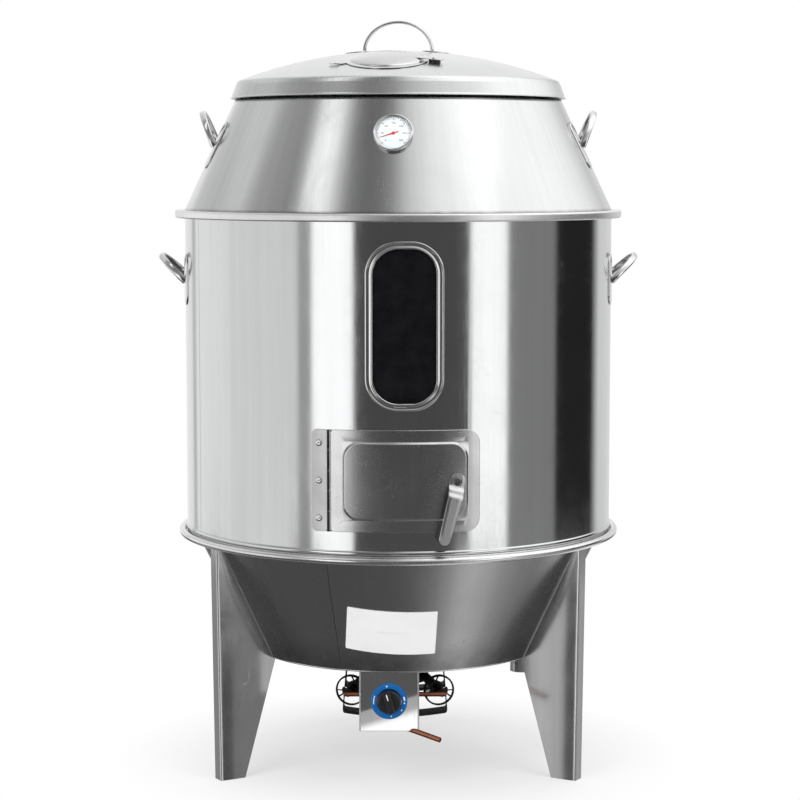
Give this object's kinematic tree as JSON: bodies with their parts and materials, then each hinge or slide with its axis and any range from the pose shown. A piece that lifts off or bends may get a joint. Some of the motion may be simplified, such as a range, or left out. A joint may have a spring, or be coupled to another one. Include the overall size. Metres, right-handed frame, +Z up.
{
  "type": "roast chicken oven",
  "caption": "Gas-fired stainless steel barrel oven on legs, with a lift-off lid, cone and barrel, a viewing window, a fire door and a hanging rack.",
  "frame": {"origin": "floor point under the barrel's axis, level with the soles of the legs", "axes": "+Z up along the barrel's axis, -Y towards the window and the fire door, +X to the right as seen from the front"},
  "size_m": [0.9032, 0.836, 1.3965],
  "materials": {
    "stainless": "polished with a fine grain",
    "bright_stainless": "bright polished",
    "inner_stainless": "plain mill finish",
    "cast_iron": "rough, black",
    "brass": "machined",
    "copper": "drawn tube",
    "black_plastic": "satin moulded",
    "blue_plastic": "printed satin",
    "dark_glass": "dark, smooth",
    "clear_glass": "clear, smooth",
    "dial_face": "matt white",
    "needle_red": "matt red",
    "blank_plate": "matt white, blank"
  },
  "bodies": {
    "base": {"base_bowl": "stainless", "base_rim_bead": "bright_stainless", "basin_floor": "inner_stainless", "grease_spout": "stainless", "burner_shield": "inner_stainless", "leg_right": "stainless", "leg_left": "stainless", "leg_rear": "stainless", "blank_plate": "blank_plate", "burner_head": "cast_iron", "burner_cradle": "cast_iron", "mixer_tube_left": "cast_iron", "mixer_tube_right": "cast_iron", "gas_nozzle_left": "brass", "gas_nozzle_right": "brass", "gas_manifold": "brass", "gas_valve": "brass", "gas_inlet_tube": "copper", "control_box": "bright_stainless", "knob_bezel": "blue_plastic"},
    "barrel": {"drum_shell": "stainless", "drum_liner": "inner_stainless", "window_bezel": "bright_stainless", "window_glass": "dark_glass", "window_tunnel": "inner_stainless", "door_tunnel": "inner_stainless", "door_hinge_leaf": "stainless", "door_hinge_pin": "bright_stainless", "hinge_rivet_lower": "bright_stainless", "hinge_rivet_middle": "bright_stainless", "hinge_rivet_upper": "bright_stainless", "drum_handle_right": "bright_stainless", "drum_handle_left": "bright_stainless"},
    "door": {"fire_door": "stainless", "door_heat_pan": "inner_stainless"},
    "latch": {"latch_lever": "stainless", "latch_spindle": "bright_stainless"},
    "cone": {"cone_flange_ring": "bright_stainless", "cone_shell": "stainless", "cone_handle_right": "bright_stainless", "cone_handle_left": "bright_stainless", "gauge_case": "bright_stainless", "gauge_dial": "dial_face", "gauge_lens": "clear_glass", "gauge_probe": "brass", "rack_bracket_a": "inner_stainless", "rack_bracket_b": "inner_stainless", "rack_bracket_c": "inner_stainless"},
    "needle": {"gauge_needle": "needle_red"},
    "rack": {"hanging_rack": "inner_stainless"},
    "lid": {"lid_shell": "stainless", "lid_handle": "bright_stainless", "vent_spacer": "black_plastic", "vent_rivet": "bright_stainless"},
    "vent": {"vent_cover": "stainless"},
    "stem": {"valve_stem": "brass"},
    "knob": {"control_knob": "black_plastic"},
    "shutter_left": {"air_shutter_left": "stainless"},
    "shutter_right": {"air_shutter_right": "stainless"}
  },
  "joints": [
    {"name": "drum_lift", "type": "slide", "parent": "base", "child": "barrel", "axis": [0, 0, 1], "range_m": [0, 0.2]},
    {"name": "cone_lift", "type": "slide", "parent": "barrel", "child": "cone", "axis": [0, 0, 1], "range_m": [0, 0.2]},
    {"name": "lid_lift", "type": "slide", "parent": "cone", "child": "lid", "axis": [0, 0, 1], "range_m": [0, 0.2]},
    {"name": "rack_lift", "type": "slide", "parent": "cone", "child": "rack", "axis": [0, 0, 1], "range_m": [0, 0.06]},
    {"name": "vent_swing", "type": "hinge", "parent": "lid", "child": "vent", "pos_m": [0.06508, -0.20673, 1.31066], "axis": [0.0797, -0.253, 0.9642], "range_deg": [0, 70]},
    {"name": "fire_door_hinge", "type": "hinge", "parent": "barrel", "child": "door", "pos_m": [-0.12195, -0.38453, 0.5821], "axis": [0, 0, -1], "range_deg": [0, 110]},
    {"name": "latch_turn", "type": "hinge", "parent": "door", "child": "latch", "pos_m": [0.10144, -0.38692, 0.5821], "axis": [-0.2536, 0.9673, 0], "range_deg": [0, 90]},
    {"name": "needle_turn", "type": "hinge", "parent": "cone", "child": "needle", "pos_m": [-0.00821, -0.33607, 1.1815], "axis": [0.0221, 0.9053, -0.4241], "range_deg": [-20, 230]},
    {"name": "valve_push", "type": "slide", "parent": "base", "child": "stem", "axis": [0, 1, 0], "range_m": [0, 0.004], "stiffness_N_per_m": 1000, "springref_m": -0.002},
    {"name": "knob_turn", "type": "hinge", "parent": "stem", "child": "knob", "pos_m": [-0.0164, -0.264, 0.1637], "axis": [0, -1, 0], "range_deg": [0, 210]},
    {"name": "shutter_left_turn", "type": "hinge", "parent": "base", "child": "shutter_left", "pos_m": [-0.088, -0.15, 0.158], "axis": [-0.2079, -0.9781, 0], "range_deg": [0, 90]},
    {"name": "shutter_right_turn", "type": "hinge", "parent": "base", "child": "shutter_right", "pos_m": [0.076, -0.15, 0.158], "axis": [0.2079, -0.9781, 0], "range_deg": [0, 90]}
  ]
}
